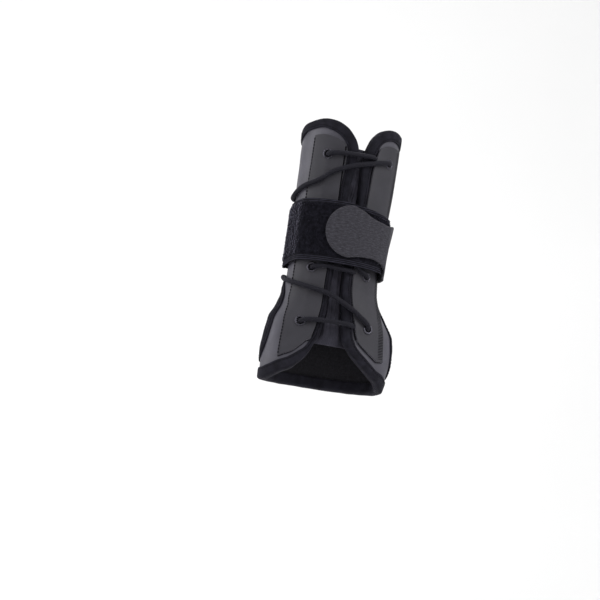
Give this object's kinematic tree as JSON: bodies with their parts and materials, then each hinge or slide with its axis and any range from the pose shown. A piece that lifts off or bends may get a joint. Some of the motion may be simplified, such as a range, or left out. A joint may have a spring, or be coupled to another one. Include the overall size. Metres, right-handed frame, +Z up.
{
  "type": "lace-up wrist splint",
  "caption": "Wrap-round wrist splint with bound edges, thumb openings, an eyelet lace over a tongue, and a plush strap closed by a round-ended hook strap.",
  "frame": {"origin": "middle of the wrist, inside the hollow", "axes": "+Z up the forearm towards the elbow, -Y towards the back of the hand, +X towards the thumb"},
  "size_m": [0.0955, 0.0659, 0.189],
  "materials": {
    "wrap": "smooth grey laminated fabric",
    "tape": "black folded binding tape",
    "panel": "charcoal grained leatherette",
    "eyelet": "dark plated metal",
    "tongue": "dark knit",
    "lace": "black round braid",
    "loop_strap": "black loop pile",
    "hook_strap": "charcoal heathered brushed fabric"
  },
  "bodies": {
    "root": {"shell": "wrap", "edge_binding": "tape", "thumb_binding_radial": "tape", "thumb_binding_ulnar": "tape", "lace_panel_ulnar": "panel", "lace_panel_radial": "panel", "eyelet_ulnar_1": "eyelet", "eyelet_ulnar_2": "eyelet", "eyelet_ulnar_3": "eyelet", "eyelet_ulnar_4": "eyelet", "eyelet_radial_1": "eyelet", "eyelet_radial_2": "eyelet", "eyelet_radial_3": "eyelet", "eyelet_radial_4": "eyelet", "tongue": "tongue", "lace": "lace", "lace_pull_tab": "hook_strap", "loop_strap": "loop_strap", "hook_strap": "hook_strap"}
  },
  "joints": []
}
